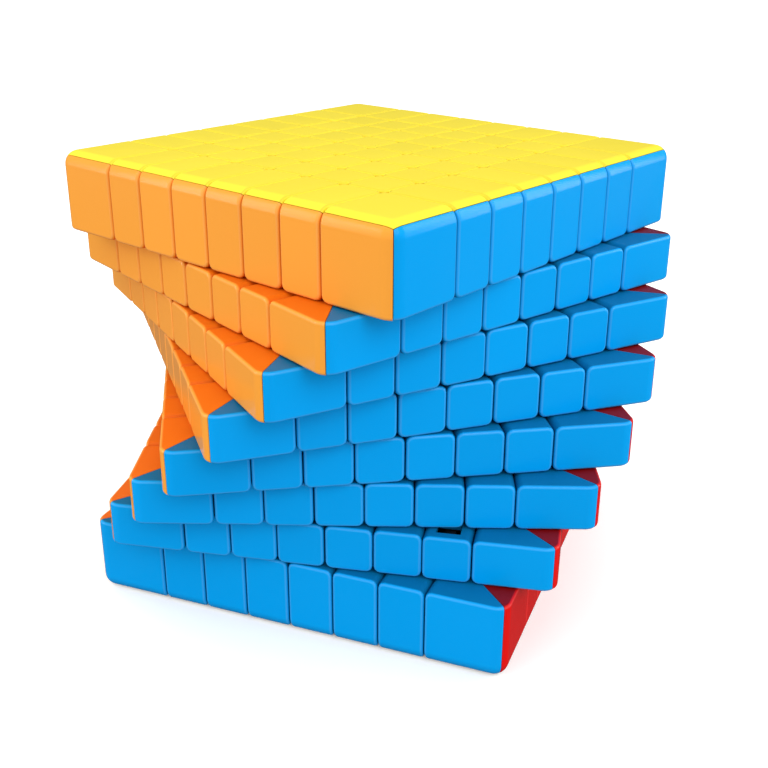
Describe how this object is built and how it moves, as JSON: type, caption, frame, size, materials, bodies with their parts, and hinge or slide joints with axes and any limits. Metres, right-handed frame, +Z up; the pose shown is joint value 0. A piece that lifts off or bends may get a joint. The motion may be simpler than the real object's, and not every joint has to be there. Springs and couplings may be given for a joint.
{
  "type": "twisty puzzle cube",
  "caption": "Stickerless twisty puzzle cube of even order, its layers turned step by step into a spiral around a hidden core.",
  "frame": {"origin": "centre of the bottom face, on the axis that every layer turns about", "axes": "+Z up along the turning axis, through the yellow face; at rest the bottom layer's sides lie along X and Y, with red towards +X and blue towards -Y"},
  "size_m": [0.1106, 0.1106, 0.08],
  "materials": {
    "blue_abs": "satin moulded ABS",
    "red_abs": "satin moulded ABS",
    "green_abs": "satin moulded ABS",
    "orange_abs": "satin moulded ABS",
    "yellow_abs": "satin moulded ABS",
    "white_abs": "satin moulded ABS",
    "black_abs": "fine matt moulded ABS",
    "core_nylon": "matt moulded nylon",
    "bright_steel": "zinc-plated",
    "spring_steel": "drawn wire"
  },
  "bodies": {
    "core": {"core_spider": "core_nylon", "hidden_equator": "black_abs", "side_stalks": "black_abs", "stalk_screws": "bright_steel", "stalk_springs": "spring_steel", "stalk_washers": "bright_steel"},
    "layer_1": {"layer_1_blue_shells": "blue_abs", "layer_1_centre_feet": "black_abs", "layer_1_corner_feet": "black_abs", "layer_1_edge_feet": "black_abs", "layer_1_green_shells": "green_abs", "layer_1_orange_shells": "orange_abs", "layer_1_red_shells": "red_abs", "layer_1_yellow_shells": "yellow_abs", "top_stalk": "black_abs"},
    "layer_2": {"layer_2_blue_shells": "blue_abs", "layer_2_centre_feet": "black_abs", "layer_2_edge_feet": "black_abs", "layer_2_green_shells": "green_abs", "layer_2_orange_shells": "orange_abs", "layer_2_red_shells": "red_abs"},
    "layer_3": {"layer_3_blue_shells": "blue_abs", "layer_3_centre_feet": "black_abs", "layer_3_edge_feet": "black_abs", "layer_3_green_shells": "green_abs", "layer_3_orange_shells": "orange_abs", "layer_3_red_shells": "red_abs"},
    "layer_4": {"layer_4_blue_shells": "blue_abs", "layer_4_centre_feet": "black_abs", "layer_4_edge_feet": "black_abs", "layer_4_green_shells": "green_abs", "layer_4_orange_shells": "orange_abs", "layer_4_red_shells": "red_abs"},
    "layer_5": {"layer_5_blue_shells": "blue_abs", "layer_5_centre_feet": "black_abs", "layer_5_edge_feet": "black_abs", "layer_5_green_shells": "green_abs", "layer_5_orange_shells": "orange_abs", "layer_5_red_shells": "red_abs"},
    "layer_6": {"layer_6_blue_shells": "blue_abs", "layer_6_centre_feet": "black_abs", "layer_6_edge_feet": "black_abs", "layer_6_green_shells": "green_abs", "layer_6_orange_shells": "orange_abs", "layer_6_red_shells": "red_abs"},
    "layer_7": {"layer_7_blue_shells": "blue_abs", "layer_7_centre_feet": "black_abs", "layer_7_edge_feet": "black_abs", "layer_7_green_shells": "green_abs", "layer_7_orange_shells": "orange_abs", "layer_7_red_shells": "red_abs"},
    "layer_8": {"bottom_stalk": "black_abs", "layer_8_blue_shells": "blue_abs", "layer_8_centre_feet": "black_abs", "layer_8_corner_feet": "black_abs", "layer_8_edge_feet": "black_abs", "layer_8_green_shells": "green_abs", "layer_8_orange_shells": "orange_abs", "layer_8_red_shells": "red_abs", "layer_8_white_shells": "white_abs"}
  },
  "joints": [
    {"name": "layer_1_turn", "type": "hinge", "parent": "core", "child": "layer_1", "pos_m": [0, 0, 0.04], "axis": [0, 0, 1], "continuous": true},
    {"name": "layer_2_turn", "type": "hinge", "parent": "core", "child": "layer_2", "pos_m": [0, 0, 0.04], "axis": [0, 0, 1], "continuous": true},
    {"name": "layer_3_turn", "type": "hinge", "parent": "core", "child": "layer_3", "pos_m": [0, 0, 0.04], "axis": [0, 0, 1], "continuous": true},
    {"name": "layer_4_turn", "type": "hinge", "parent": "core", "child": "layer_4", "pos_m": [0, 0, 0.04], "axis": [0, 0, 1], "continuous": true},
    {"name": "layer_5_turn", "type": "hinge", "parent": "core", "child": "layer_5", "pos_m": [0, 0, 0.04], "axis": [0, 0, 1], "continuous": true},
    {"name": "layer_6_turn", "type": "hinge", "parent": "core", "child": "layer_6", "pos_m": [0, 0, 0.04], "axis": [0, 0, 1], "continuous": true},
    {"name": "layer_7_turn", "type": "hinge", "parent": "core", "child": "layer_7", "pos_m": [0, 0, 0.04], "axis": [0, 0, 1], "continuous": true},
    {"name": "layer_8_turn", "type": "hinge", "parent": "core", "child": "layer_8", "pos_m": [0, 0, 0.04], "axis": [0, 0, 1], "continuous": true}
  ]
}
